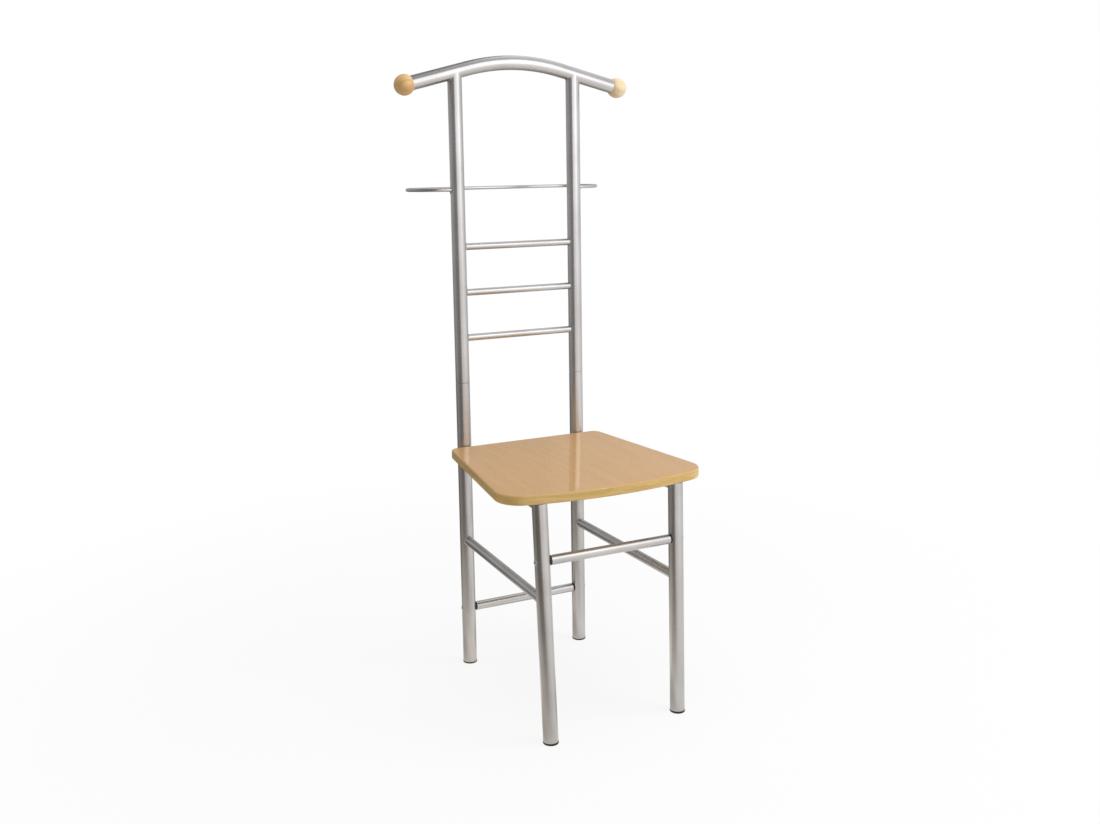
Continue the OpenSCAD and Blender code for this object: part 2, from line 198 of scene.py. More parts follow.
def linear(text):
    """An sRGB hex value as linear red, green, blue and 1."""
    part = np.array([int(text[i:i + 2], 16) for i in (1, 3, 5)]) / 255
    part = np.where(part <= 0.04045, part / 12.92, ((part + 0.055) / 1.055) ** 2.4)
    return (*part.tolist(), 1.0)


def grey(value, tint=PLAIN):
    """A linear grey, coloured by a tint."""
    return (*(value * part for part in tint), 1.0)


def unit(vector):
    """Vectors along the last axis, scaled to length 1."""
    vector = np.asarray(vector, float)
    return vector / np.maximum(np.linalg.norm(vector, axis=-1, keepdims=True), 1e-12)


def square_axes(axis):
    """Two unit vectors square to axis and to each other."""
    axis = unit(axis)
    side = np.array([0.0, 0, 1]) if abs(axis[2]) < 0.8 else np.array([1.0, 0, 0])
    first = unit(np.cross(side, axis))
    return first, np.cross(axis, first)


def circle(steps):
    """Evenly spaced angles round a full turn."""
    return np.arange(steps) / steps * 2 * np.pi


def spokes(angle, axis):
    """Unit vectors square to axis, one at each angle round it."""
    first, second = square_axes(axis)
    return np.cos(angle)[:, None] * first + np.sin(angle)[:, None] * second


def signed_volume(points, faces):
    """Volume inside a closed mesh: the sum of a · (b × c) / 6 over its triangles."""
    total = 0.0
    for block in faces:
        for k in range(1, block.shape[1] - 1):
            a, b, c = points[block[:, 0]], points[block[:, k]], points[block[:, k + 1]]
            total += np.einsum("ij,ij->", a, np.cross(b, c)) / 6
    return total


def show(piece):
    """Puts an object in the scene."""
    bpy.context.scene.collection.objects.link(piece)
    return piece


def put(name, shapes, body, slot, finishes=None, uv=None, kinds=None):
    """Makes one mesh object from closed shapes, turns it the right way out, and lets it ride on
    a body. Without finishes it has its slot's. uv holds a pair for each point, and kinds the
    place in the list of finishes for each face."""
    points, blocks = joined(shapes)
    if signed_volume(points, blocks) < 0:
        blocks = [block[:, ::-1] for block in blocks]
    mesh = bpy.data.meshes.new(name)
    faces = [face for block in blocks for face in block.tolist()]
    mesh.from_pydata(points.tolist(), [], faces)
    for finish in finishes or [bpy.data.materials[FINISHES[slot]]]:
        mesh.materials.append(finish)
    if kinds is not None:
        mesh.polygons.foreach_set("material_index", np.asarray(kinds, np.int32))
    mesh.polygons.foreach_set("use_smooth", np.full(len(faces), True))
    if uv is not None:
        layer = mesh.uv_layers.new(name="UVMap")
        corner = np.empty(len(mesh.loops), np.int32)
        mesh.loops.foreach_get("vertex_index", corner)
        layer.data.foreach_set("uv", uv[corner].astype(np.float32).ravel())
    mesh.update()
    piece = show(bpy.data.objects.new(name, mesh))
    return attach(piece, body)


def skin(rows, columns, closed=True, around=True):
    """Faces of a grid of rows by columns points, numbered row by row. Closed joins the last
    row to the first, around joins the last column to the first."""
    i = np.arange(rows if closed else rows - 1)
    j = np.arange(columns if around else columns - 1)
    i, j = np.meshgrid(i, j, indexing="ij")
    k, m = (i + 1) % rows, (j + 1) % columns
    corner = [i * columns + j, i * columns + m, k * columns + m, k * columns + j]
    return np.stack([c.ravel() for c in corner], 1)


def fan(ring, centre):
    """Triangles from a ring of point numbers to the number of a centre point."""
    return np.stack([ring, np.roll(ring, -1), np.full(len(ring), centre)], 1)


def capped(grid):
    """Points and faces of a tube-like grid whose first and last rows are closed by a point in
    the middle of each."""
    rows, columns = grid.shape[:2]
    ends = np.stack([grid[0].mean(0), grid[-1].mean(0)])
    points = np.concatenate([grid.reshape(-1, 3), ends])
    first = np.arange(columns)
    last = first + (rows - 1) * columns
    caps = [fan(first[::-1], rows * columns), fan(last, rows * columns + 1)]
    return points, [skin(rows, columns, closed=False), np.concatenate(caps)]


def joined(shapes):
    """Points and faces of several shapes, as one mesh."""
    points, faces, start = [], [], 0
    for p, blocks in shapes:
        points.append(p)
        faces += [block + start for block in blocks]
        start += len(p)
    return np.concatenate(points), faces


def turned(profile, place, axis, steps, dent):
    """A turned form: profile is rows of radius and height along axis from place. Each point's
    height grows by dent(x, y, z), where x and y are its place in the form's own cross plane."""
    profile = np.asarray(profile, float)
    first, second = square_axes(axis)
    angle = circle(steps)
    x = profile[:, :1] * np.cos(angle)
    y = profile[:, :1] * np.sin(angle)
    z = np.broadcast_to(profile[:, 1:2], x.shape)
    z = z + dent(x, y, z)
    across = x[..., None] * first + y[..., None] * second
    return capped(np.asarray(place) + across + z[..., None] * unit(axis))


# ---- nodes and finishes


def tune(node, inputs=(), stops=(), **settings):
    """Sets up a node. A setting is an attribute of the node or, with underscores for spaces,
    one of its inputs; inputs holds those that go by number. An input takes an output, a node,
    for the first output that it uses, or a plain value. stops are a colour ramp's places and
    linear colours."""
    takes = dict(inputs)
    for name, value in settings.items():
        if hasattr(node, name):
            setattr(node, name, value)
        else:
            takes[name.replace("_", " ")] = value
    for entry, value in takes.items():
        if isinstance(value, bpy.types.Node):
            value = next(output for output in value.outputs if output.enabled)
        if isinstance(value, bpy.types.NodeSocket):
            node.id_data.links.new(node.inputs[entry], value)
        else:
            node.inputs[entry].default_value = value
    if stops:
        band = node.color_ramp
        while len(band.elements) < len(stops):
            band.elements.new(0.5)
        for element, (place, colour) in zip(band.elements, stops):
            element.position, element.color = place, colour
    return node


def add(tree, kind, inputs=(), stops=(), **settings):
    """Adds a node of a kind, the type's name after ShaderNode, to a tree and sets it up."""
    return tune(tree.nodes.new("ShaderNode" + kind), inputs, stops, **settings)


def finish_tree(name):
    """A new material, its tree, its Principled shader and its Object coordinates."""
    material = bpy.data.materials.new(name)
    material.use_nodes = True
    tree = material.node_tree
    place = add(tree, "TexCoord")
    return material, tree, tree.nodes["Principled BSDF"], place.outputs["Object"]


def silver_lacquer(colours):
    """Steel tube sprayed with an aluminium-flake lacquer and baked. The flakes make it a soft
    metallic mirror, the spray leaves a faint orange peel some 3 mm across, and the flakes lie
    denser here and there. The flakes are 0.03 mm in life and are drawn at 0.35 mm to show."""
    material, tree, shader, place = finish_tree(FINISHES["silver_tube"])
    rough, flicker = 0.27, 0.015
    cloud = add(tree, "TexNoise", Vector=place, Scale=14.0)
    flake = add(tree, "TexVoronoi", Vector=place, Scale=2800.0)
    orange_peel = add(tree, "TexNoise", Vector=place, Scale=330.0, Detail=1.0)
    tone = add(tree, "ValToRGB", Fac=cloud, stops=[
        (0.35, linear(colours.silver_shade)), (0.65, linear(colours.silver))])
    spark = add(tree, "MapRange", Value=flake.outputs["Color"], To_Min=rough - flicker,
                To_Max=rough + flicker)
    bump = add(tree, "Bump", Height=orange_peel, Strength=0.005, Distance=0.001)
    tune(shader, Base_Color=tone, Roughness=spark, Normal=bump, Metallic=1.0)
    return material


def zinc_plate(colours):
    """Cold-headed steel with bright zinc plating: a cool, slightly cloudy metal whose faces
    keep fine marks of the forming tools, 0.4 mm apart."""
    material, tree, shader, place = finish_tree(FINISHES["zinc_steel"])
    cloud = add(tree, "TexNoise", Vector=place, Scale=180.0, Detail=3.0)
    marks = add(tree, "TexNoise", Vector=place, Scale=2500.0)
    dull = add(tree, "MapRange", Value=cloud, From_Min=0.3, From_Max=0.7, To_Min=0.22,
               To_Max=0.36)
    bump = add(tree, "Bump", Height=marks, Strength=0.12, Distance=0.0002)
    tune(shader, Roughness=dull, Normal=bump, Base_Color=linear(colours.zinc), Metallic=1.0)
    return material


def black_polyethylene(colours):
    """Injection-moulded polyethylene: waxy black with a fine moulded grain 0.7 mm across."""
    material, tree, shader, place = finish_tree(FINISHES["black_plastic"])
    grain = add(tree, "TexNoise", Vector=place, Scale=1500.0)
    bump = add(tree, "Bump", Height=grain, Strength=0.25, Distance=0.0002)
    dull = add(tree, "MapRange", Value=grain, From_Min=0.3, From_Max=0.7, To_Min=0.42,
               To_Max=0.55)
    tune(shader, Normal=bump, Roughness=dull, Base_Color=linear(colours.plastic), IOR=1.51)
    return material


def beech_pattern(tree, vector, light, dark, fleck, band, fleck_share=0.55):
    """Beech along the vector's Y: soft bands of early and late wood, band metres broad, fine
    pores 0.5 mm apart and 12 mm long, and ray flecks, darker dashes 0.6 mm wide and 4 mm long,
    one in each 1.6 by 10.5 mm. They are 0.2 mm wide in life and drawn broader to show. Gives
    the colour, and the pores' height."""
    stretch = add(tree, "Mapping", Vector=vector, Scale=(1 / band, 1 / (12 * band), 1 / band))
    bands = add(tree, "TexNoise", Vector=stretch, Scale=1.0, Detail=4.0, Roughness=0.55,
                Distortion=0.6)
    pore = add(tree, "Mapping", Vector=vector, Scale=(2000.0, 80.0, 2000.0))
    pores = add(tree, "TexNoise", Vector=pore, Scale=1.0)
    dash = add(tree, "Mapping", Vector=vector, Scale=(640.0, 95.0, 640.0))
    dashes = add(tree, "TexVoronoi", Vector=dash, Scale=1.0)
    body = add(tree, "ValToRGB", Fac=bands, stops=[(0.33, dark), (0.68, light)])
    streak = add(tree, "MapRange", Value=pores, From_Min=0.35, From_Max=0.65, To_Min=0.90,
                 To_Max=1.05)
    grained = add(tree, "VectorMath", {0: body}, Scale=streak, operation="SCALE")
    mark = add(tree, "ValToRGB", Fac=dashes,
               stops=[(0.10, grey(fleck_share)), (0.24, grey(0.0))])
    mixed = add(tree, "Mix", {6: grained, 7: fleck}, Factor=mark, data_type="RGBA")
    return mixed, pores


def beech_veneer(colours):
    """Beech veneer, grain from front to back, under several coats of clear gloss lacquer that
    fill its pores: the coat is nearly a mirror, the wood under it is warm and even, and has
    little shine of its own because the lacquer wets it."""
    material, tree, shader, place = finish_tree("gloss_lacquered_beech_veneer")
    tone, _ = beech_pattern(tree, place, linear(colours.seat_light), linear(colours.seat_dark),
                            linear(colours.seat_fleck), 0.016)
    wave = add(tree, "TexNoise", Vector=place, Scale=45.0, Detail=1.0)
    coat = add(tree, "Bump", Height=wave, Strength=0.06, Distance=0.001)
    tune(shader, Base_Color=tone, Coat_Normal=coat, Roughness=0.5, Specular_IOR_Level=0.1,
         Coat_Weight=1.0, Coat_Roughness=0.06)
    return material


def beech_lipping(colours):
    """A thin beech lipping glued round the board, its grain running along the edge, under the
    same lacquer. It reads the edge's own UV map: metres along the edge and across it."""
    material, tree, shader, _ = finish_tree("gloss_lacquered_beech_lipping")
    along = add(tree, "UVMap", uv_map="UVMap")
    turn = add(tree, "Mapping", Vector=along, Rotation=(0.0, 0.0, math.pi / 2))
    dark = linear(colours.edge_dark)
    tone, _ = beech_pattern(tree, turn, linear(colours.edge), dark, dark, 0.006, 0.4)
    tune(shader, Base_Color=tone, Roughness=0.5, Specular_IOR_Level=0.1, Coat_Weight=0.8,
         Coat_Roughness=0.16)
    return material


def beech_backing(colours):
    """The veneer under the board, a plainer and paler sheet, sealed once and left matt."""
    material, tree, shader, place = finish_tree("sealed_beech_backing")
    dark = linear(colours.backing_dark)
    tone, _ = beech_pattern(tree, place, linear(colours.backing), dark, dark, 0.022, 0.3)
    tune(shader, Base_Color=tone, Roughness=0.6, Specular_IOR_Level=0.3)
    return material


def turned_beech(light, dark, name, centre, axis):
    """Solid beech turned on a lathe, grain along the lathe's axis, under satin lacquer. Its
    growth rings, 3 mm apart in life, are drawn 6 mm apart to show, as faint ovals where the
    turning cuts across them."""
    material, tree, shader, place = finish_tree(name)
    own = add(tree, "Mapping", Vector=place, vector_type="TEXTURE", Location=tuple(centre),
              Rotation=turn_from_y(axis))
    ring_place = add(tree, "Mapping", Vector=own, Location=(0.055, 0.0, 0.02),
                     Scale=(1.0, 0.15, 1.0))
    rings = add(tree, "TexWave", Vector=ring_place, wave_type="RINGS",
                rings_direction="SPHERICAL", Scale=52.0, Distortion=1.6)
    tone, pores = beech_pattern(tree, own, light, dark, dark, 0.009, 0.5)
    late = add(tree, "ValToRGB", Fac=rings.outputs["Fac"],
               stops=[(0.0, (0.93, 0.88, 0.80, 1.0)), (0.6, grey(1.0))])
    mixed = add(tree, "Mix", {6: tone, 7: late}, Factor=0.7, data_type="RGBA",
                blend_type="MULTIPLY")
    bump = add(tree, "Bump", Height=pores, Strength=0.08, Distance=0.0002)
    tune(shader, Base_Color=mixed, Normal=bump, Roughness=0.45, Specular_IOR_Level=0.1,
         Coat_Weight=1.0, Coat_IOR=1.65, Coat_Roughness=0.25)
    return material


def turn_from_y(axis):
    """The rotation, as XYZ angles, that carries Y to axis."""
    axis = unit(axis)
    return (math.asin(axis[2]), 0.0, math.atan2(-axis[0], axis[1]))


def dress(nodes, material):
    """Gives CAD nodes their finish."""
    for name in nodes:
        for slot in FRAME["nodes"][name].material_slots:
            slot.material = material


# ---- the frame's lines


def rear_line(side):
    """A point at the floor and the direction of a rear post and its upright."""
    return np.array([side * REAR_X, REAR_Y, 0.0]), UP


def front_line(sizes, side):
    """A point at the floor and the direction of a front leg."""
    lean, toe = sizes.leg_lean, sizes.leg_toe
    direction = np.array([math.cos(lean) * math.sin(toe) * side, math.sin(lean),
                          math.cos(lean) * math.cos(toe)])
    return FRONT_FOOT * [side, 1, 1], direction


def at_height(line, z):
    """The point of a line at height z."""
    place, direction = line
    return place + direction * ((z - place[2]) / direction[2])


def arm_line(sizes, side):
    """A point on a hanger bar arm's axis and its direction outwards. The arm leaves the bar's
    bend, of radius R, where the bend has turned through the slope: R sin(slope) to the side
    and R (1 - cos(slope)) below the top."""
    top = rear_line(1)[0] * [0, 1, 1] + UP * ((CAD_BOX[1][2] - TUBE_R) / UP[2])
    out = np.array([side, 0.0, 0.0])
    slope = sizes.bar_slope
    start = top + out * sizes.bar_radius * math.sin(slope)
    start = start - UP * sizes.bar_radius * (1 - math.cos(slope))
    return start, out * math.cos(slope) - UP * math.sin(slope)


def rail_line(sizes, side, height):
    """The ends of a side rail or stretcher at a height, on the axes of post and leg."""
    return at_height(rear_line(side), height), at_height(front_line(sizes, side), height)


# ---- tubes and welds


class CHAIR_OT_tubes(bpy.types.Operator):
    """Silver lacquer on every tube and rod, bright zinc on the sleeves and bolts and black
    polyethylene on the stretchers' end pieces"""

    bl_idname = "valet.tubes"
    bl_label = "Tubes, rods and sleeves"

    def execute(self, context):
        colours = context.scene.valet_colours
        slots = {s["node"]: s["material_slot"] for s in FRAME["record"]["subparts"]}
        for slot, finish in (("silver_tube", silver_lacquer), ("zinc_steel", zinc_plate),
                             ("black_plastic", black_polyethylene)):
            dress([n for n, s in slots.items() if s == slot], finish(colours))
        return {"FINISHED"}


def meeting(place, axis, radius, host, angle):
    """Where the lines of a tube, at each angle round it and at radius from its axis, first meet
    a main tube from outside; host is a point and the direction of that one's axis. A line
    p + t a meets it where the part of p + t a square to the host's axis is TUBE_R long, a
    quadratic in t; a line that misses takes the nearest point, brought to the host's skin."""
    point, way = host
    ray = place + radius * spokes(angle, axis) - point
    flat_ray = ray - (ray @ way)[:, None] * way
    flat_axis = axis - (axis @ way) * way
    a = flat_axis @ flat_axis
    b = flat_ray @ flat_axis
    c = np.einsum("ij,ij->i", flat_ray, flat_ray) - TUBE_R ** 2
    t = (-b + np.sqrt(np.maximum(b * b - a * c, 0.0))) / a
    found = ray + t[:, None] * axis
    along = (found @ way)[:, None] * way
    return point + along + unit(found - along) * TUBE_R


def weld(place, axis, radius, host, leg, pitch):
    """A weld bead round the end of a tube on its host: a closed ring whose section runs on a
    flat curve from the tube's skin, one leg up from the seam, to the host's skin, one leg out,
    and back inside the seam. Its leg swells and shrinks by a twentieth at each ripple, and the
    ripples crowd a little twice on the way round."""
    girth, point_gap, crowding = 2 * math.pi * radius, 0.00035, 1.2
    depth, fullness = 0.35, 0.55  # of the hidden edge, in legs, and of the curve's knee
    angle = circle(max(72, int(girth / point_gap)))
    ripples = max(6, round(girth / pitch))
    swell = 0.05 * np.sin(ripples * angle + crowding * np.sin(2 * angle))[:, None]
    seam = meeting(place, axis, radius, host, angle)
    outer = meeting(place, axis, radius + leg, host, angle)
    outer = outer + unit(outer - seam) * leg * swell
    upper = seam + leg * axis + axis * leg * swell
    deep = seam - depth * leg * (axis + spokes(angle, axis))
    knee = seam + fullness * ((outer + upper) / 2 - seam)
    t = np.linspace(0, 1, 8)[:, None, None]
    curve = (1 - t) ** 2 * upper + 2 * t * (1 - t) * knee + t * t * outer
    grid = np.concatenate([curve, deep[None]])
    return grid.reshape(-1, 3), [skin(*grid.shape[:2])]


class CHAIR_OT_welds(bpy.types.Operator):
    """Weld beads where the rungs, the hoop, the bar, the stretchers and the rails meet their
    posts, legs and uprights"""

    bl_idname = "valet.welds"
    bl_label = "Weld beads"

    def execute(self, context):
        sizes = context.scene.valet_sizes
        leg, pitch = sizes.weld_leg, sizes.weld_pitch
        # Thinner work takes smaller beads.
        rung_leg, hoop_leg, bar_leg = leg * 0.75, leg * 0.7, leg * 0.9
        hoop_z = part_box("rod_hoop")[0][2] + HOOP_R
        for side, word in SIDES:
            post, front_leg = rear_line(side), front_line(sizes, side)
            inward = np.array([-side, 0.0, 0.0])
            rungs = [
                weld(at_height(post, middle(rung)[2]), inward, RUNG_R, post, rung_leg, pitch)
                for rung in ("upper_rung", "middle_rung", "lower_rung")]
            hoop = weld(at_height(post, hoop_z), -inward, HOOP_R, post, hoop_leg, pitch)
            bar = weld(post[0], -UP, TUBE_R, arm_line(sizes, side), bar_leg, pitch)
            base = []
            for node in (f"{word}_side_stretcher", f"{word}_seat_rail"):
                back, front = rail_line(sizes, side, middle(node)[2])
                run = unit(front - back)
                base += [weld(back, run, STRETCHER_R, post, leg, pitch),
                         weld(front, -run, STRETCHER_R, front_leg, leg, pitch)]
            for name, beads, body in (
                    ("rung_welds", rungs, "back_frame"), ("hoop_weld", [hoop], "back_frame"),
                    ("bar_weld", [bar], "back_frame"), ("stretcher_welds", base, "base")):
                put(f"{word}_{name}", beads, body, "silver_tube")
        return {"FINISHED"}


# ---- seat


def seat_outline(sizes, arc_step=math.radians(3), line_step=0.008, bow_steps=80):
    """Points of the seat's outline and its outward normals, counter-clockwise from above: a
    straight back edge, straight sides that open to the front, a bowed front arc through the
    corners and the middle, and a fillet of its own radius at each corner. Each fillet's centre
    lies its radius inside both neighbours."""
    back_half, corner_half = sizes.seat_back_width / 2, sizes.seat_front_width / 2
    back_y, depth = SEAT_HIGH[1], SEAT_HIGH[1] - SEAT_LOW[1]
    bow, front_r, back_r = sizes.seat_bow, sizes.seat_front_corner, sizes.seat_back_corner
    turn = math.atan((corner_half - back_half) / (depth - bow))
    bow_r = (corner_half ** 2 + bow ** 2) / (2 * bow)
    bow_c = np.array([0.0, back_y - depth + bow_r])
    run = np.array([math.sin(turn), -math.cos(turn)])
    out = np.array([math.cos(turn), math.sin(turn)])
    start = np.array([back_half, back_y])
    back_s = back_r * (1 - out[1]) / math.cos(turn)
    back_c = start + run * back_s - out * back_r
    q = start - out * front_r - bow_c
    b = q @ run
    front_s = -b + math.sqrt(b * b - q @ q + (bow_r - front_r) ** 2)
    front_c = start + run * front_s - out * front_r
    swing = math.atan2(front_c[0], bow_c[1] - front_c[1])

    def arc(centre, radius, a, b, steps=None):
        steps = steps or max(2, int(abs(b - a) / arc_step))
        angle = np.linspace(a, b, steps + 1)
        spoke = np.stack([np.cos(angle), np.sin(angle)], 1)
        return centre + radius * spoke, spoke

    def line(a, b, normal):
        steps = max(2, int(np.linalg.norm(b - a) / line_step))
        t = np.linspace(0, 1, steps + 1)[:, None]
        return a + (b - a) * t, np.repeat(normal[None], steps + 1, 0)

    flip = np.array([-1.0, 1.0])
    half = np.pi / 2
    bowed = arc(bow_c, bow_r, -half - swing, -half + swing, bow_steps)
    corner = arc(front_c, front_r, swing - half, turn)
    side = line(front_c + out * front_r, back_c + out * back_r, out)
    back = arc(back_c, back_r, turn, half)
    end = np.array([back_c[0], back_y])
    top = line(end, end * flip, np.array([0.0, 1]))
    mirrored = [(p[::-1] * flip, n[::-1] * flip) for p, n in (back, side, corner)]
    parts = [bowed, corner, side, back, top, *mirrored]
    place = np.concatenate([p[:-1] for p, _ in parts])
    normal = np.concatenate([n[:-1] for _, n in parts])
    return place, normal


class CHAIR_OT_seat(bpy.types.Operator):
    """The seat board: veneered top and underside, and a rounded lipping"""

    bl_idname = "valet.seat"
    bl_label = "Seat board"

    def execute(self, context):
        sizes, colours = context.scene.valet_sizes, context.scene.valet_colours
        place, normal = seat_outline(sizes)
        count = len(place)
        low, high, r = SEAT_LOW[2], SEAT_HIGH[2], sizes.seat_edge
        # Section from under to above: a point is the outline moved in by inset, at a height.
        quarter = np.linspace(0, np.pi / 2, 9)
        deeper = np.array([0.0004, 0.003, 0.009])
        inset = np.concatenate([r + deeper[::-1], r * (1 - np.sin(quarter)),
                                r * (1 - np.cos(quarter)), r + deeper])
        height = np.concatenate([np.full(len(deeper), low), low + r * (1 - np.cos(quarter)),
                                 high - r * (1 - np.sin(quarter)), np.full(len(deeper), high)])
        flat = place[None] - normal[None] * inset[:, None, None]
        height = np.broadcast_to(height[:, None, None], flat.shape[:2] + (1,))
        grid = np.concatenate([flat, height], 2)
        # The last row of each face shrinks to its middle over a few more rings.
        rings = np.linspace(0.85, 0.15, 5)[:, None, None]
        centre = grid[-1].mean(0)
        above = centre + (grid[-1][None] - centre) * rings
        centre = grid[0].mean(0)
        below = centre + (grid[0][None] - centre) * rings[::-1]
        grid = np.concatenate([below, grid, above])
        step = np.linalg.norm(place - np.roll(place, 1, 0), axis=1)
        step[0] = 0
        rise = np.linalg.norm(np.diff(grid[:, 0], axis=0), axis=1)
        along, across = np.cumsum(step), np.concatenate([[0], np.cumsum(rise)])
        uv = np.stack(np.broadcast_arrays(along[None], across[:, None]), 2).reshape(-1, 2)
        uv = np.concatenate([uv, np.zeros((2, 2))])  # the caps' middle points
        # The lipping starts and ends half-way round the two rounded edges.
        veneer, lipping, backing = range(3)
        first = len(rings) + len(deeper) + len(quarter) // 2
        row = np.repeat(np.arange(grid.shape[0] - 1), count)
        kinds = np.where(row < first, backing,
                         np.where(row < first + len(quarter), lipping, veneer))
        kinds = np.concatenate([kinds, np.full(count, backing), np.full(count, veneer)])
        finishes = [beech_veneer(colours), beech_lipping(colours), beech_backing(colours)]
        board = put("beech_seat_board", [capped(grid)], "base", "beech_board", finishes, uv,
                    kinds)
        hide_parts("seat_board")
        return {"FINISHED"}


# ---- balls, feet and fasteners


class CHAIR_OT_balls(bpy.types.Operator):
    """Turned beech on the bar's end balls"""

    bl_idname = "valet.balls"
    bl_label = "End balls"

    def execute(self, context):
        sizes, colours = context.scene.valet_sizes, context.scene.valet_colours
        for side, word in SIDES:
            ball = f"{word}_ball"
            # The right ball takes paler colours, which are painted light and sheen.
            light, dark = (linear(getattr(colours, name)) for name in (ball, f"{ball}_dark"))
            dress([ball], turned_beech(light, dark, f"satin_turned_beech_{word}", middle(ball),
                                       arm_line(sizes, side)[1]))
        return {"FINISHED"}


def glide_shape(foot, direction, sizes):
    """A foot glide: a rim round the tube's end, square to the leg above and cut level with the
    floor below, with rounded edges, and a plug up the tube. A rim point at height z lies where
    the leg's skin line through it reaches z."""
    clearance, rim_height, taper = 0.00003, 0.002, 0.0008
    heel_r, rim_r = 0.0007, 0.0003  # the roundings at the floor and above
    spoke = spokes(circle(96), direction)
    rim, bore = TUBE_R + sizes.glide_lip, TUBE_R - sizes.tube_wall - clearance
    top = rim_height + rim * math.tan(math.acos(direction[2]))
    plug_end = top + sizes.glide_plug
    quarter = np.linspace(0, np.pi / 2, 6)
    rows = []
    for inset, z in zip(heel_r * (1 - np.sin(quarter)), heel_r * (1 - np.cos(quarter))):
        ring = foot + (rim - inset) * spoke
        rows.append(ring + ((z - ring[:, 2]) / direction[2])[:, None] * direction)
    radii = [*(rim - rim_r * (1 - np.cos(quarter))), bore, bore, bore - taper]
    heights = [*(top - rim_r * (1 - np.sin(quarter))), top, plug_end - taper, plug_end]
    rows += [foot + radius * spoke + s * direction for radius, s in zip(radii, heights)]
    return capped(np.stack(rows))


class CHAIR_OT_glides(bpy.types.Operator):
    """Black foot glides with rounded rims"""

    bl_idname = "valet.glides"
    bl_label = "Foot glides"

    def execute(self, context):
        sizes = context.scene.valet_sizes
        for side, word in SIDES:
            for end, line in (("rear", rear_line(side)), ("front", front_line(sizes, side))):
                piece = put(f"{word}_{end}_foot", [glide_shape(*line, sizes)], "base",
                            "black_plastic")
                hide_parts(f"{word}_{end}_glide")
        return {"FINISHED"}


def within(distance, edge, slope):
    """1 where a distance falls short of an edge by the width of its slope, 0 past the edge,
    and a straight slope between."""
    return np.clip((edge - distance) / slope, 0, 1)


def cross_recess(x, y, z):
    """Depth of a cross recess at x, y: two crossed slots, 1.5 mm wide and 4.6 mm long at the
    face, with sloping walls and 1.4 mm deep. It takes only from the head's face, where z is
    low."""
    across = np.minimum(np.abs(x), np.abs(y))
    reach = np.maximum(np.abs(x), np.abs(y))
    slots = within(across, 0.00075, 0.0003) * within(reach, 0.0023, 0.0007)
    return 0.0014 * slots * within(z, -0.0010, 0.0002)


def hexagon_socket(x, y, z):
    """Depth of a hexagon socket, 1.1 mm deep and 3.3 mm across its flats at the face: a point
    is within it by the farthest of its three distances across flats, on the head's face
    alone."""
    thirds = np.arange(3) * np.pi / 3
    flats = np.max([np.abs(x * np.cos(t) + y * np.sin(t)) for t in thirds], axis=0)
    return 0.0011 * within(flats, 0.00165, 0.0002) * (z < -0.0002)


class CHAIR_OT_bolts(bpy.types.Operator):
    """Low button-head bolts that hold the front and rear stretchers, seen on the outer sides of
    the legs and posts"""

    bl_idname = "valet.bolts"
    bl_label = "Frame bolts"

    def execute(self, context):
        sizes = context.scene.valet_sizes
        head, rise, shank = sizes.bolt_head / 2, sizes.bolt_rise, sizes.bolt_shank / 2
        edge, foot, length = 0.0003, 0.0006, 0.040  # of the head's rim, its foot, the bolt
        # The head's face is a ball's cap of height rise over its rim, which is let into the
        # tube's round skin.
        curve = (head ** 2 + rise ** 2) / (2 * rise)
        radius = np.linspace(0, head - 0.0001, 40)[1:]
        height = curve - rise - np.sqrt(curve ** 2 - radius ** 2)
        profile = [*zip(radius, height - edge), (head, 0.0), (head - 0.0002, foot),
                   (shank, foot), (shank, length - 0.002), (shank - 0.001, length)]
        shapes = []
        for side in (-1, 1):
            for line, node in ((rear_line(side), "rear_stretcher"),
                               (front_line(sizes, side), "front_stretcher")):
                at = at_height(line, middle(node)[2]) + [side * (TUBE_R - edge), 0, 0]
                shapes.append(turned(profile, at, (-side, 0, 0), 144, hexagon_socket))
        piece = put("button_head_frame_bolts", shapes, "base", "zinc_steel")
        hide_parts("frame_bolts")
        return {"FINISHED"}


class CHAIR_OT_screws(bpy.types.Operator):
    """Pan-head screws that hold the board to the rails, seen from below"""

    bl_idname = "valet.screws"
    bl_label = "Seat screws"

    def execute(self, context):
        sizes = context.scene.valet_sizes
        head, height, crown, bevel = sizes.screw_head / 2, 0.0026, 0.0009, 0.0001
        shank, length = 0.00198, 0.0265
        # The head's face rises by its crown as a flattened half ball.
        dome = np.linspace(0.0, 1.0, 40)[1:]
        face = crown * (1 - np.sqrt(np.maximum(1 - dome ** 2, 0))) - height
        profile = [*zip(head * dome, face), (head, -bevel), (head - bevel, 0.0), (shank, 0.0),
                   (shank, length - 0.002), (0.0008, length)]
        shapes = []
        for side in (-1, 1):
            back, front = rail_line(sizes, side, middle("right_seat_rail")[2])
            share = (TUBE_R + sizes.screw_inset) / np.linalg.norm(front - back)
            for t in (share, 1 - share):
                at = back + (front - back) * t - [0, 0, STRETCHER_R]
                shapes.append(turned(profile, at, (0, 0, 1), 128, cross_recess))
        piece = put("pan_head_seat_screws", shapes, "base", "zinc_steel")
        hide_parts("seat_screws")
        return {"FINISHED"}


# ---- studio


def stage_mesh(name, points, faces, material):
    """A stage piece from a mesh."""
    mesh = bpy.data.meshes.new(name)
    mesh.from_pydata(points, [], faces)
    mesh.materials.append(material)
    piece = show(bpy.data.objects.new(name, mesh))
    return piece


def stage_square(name, height, material, reach=4.0):
    """A level square round the chair."""
    corners = [(x * reach, y * reach, height) for x, y in ((-1, -1), (1, -1), (1, 1), (-1, 1))]
    return stage_mesh(name, corners, [(0, 1, 2, 3)], material)


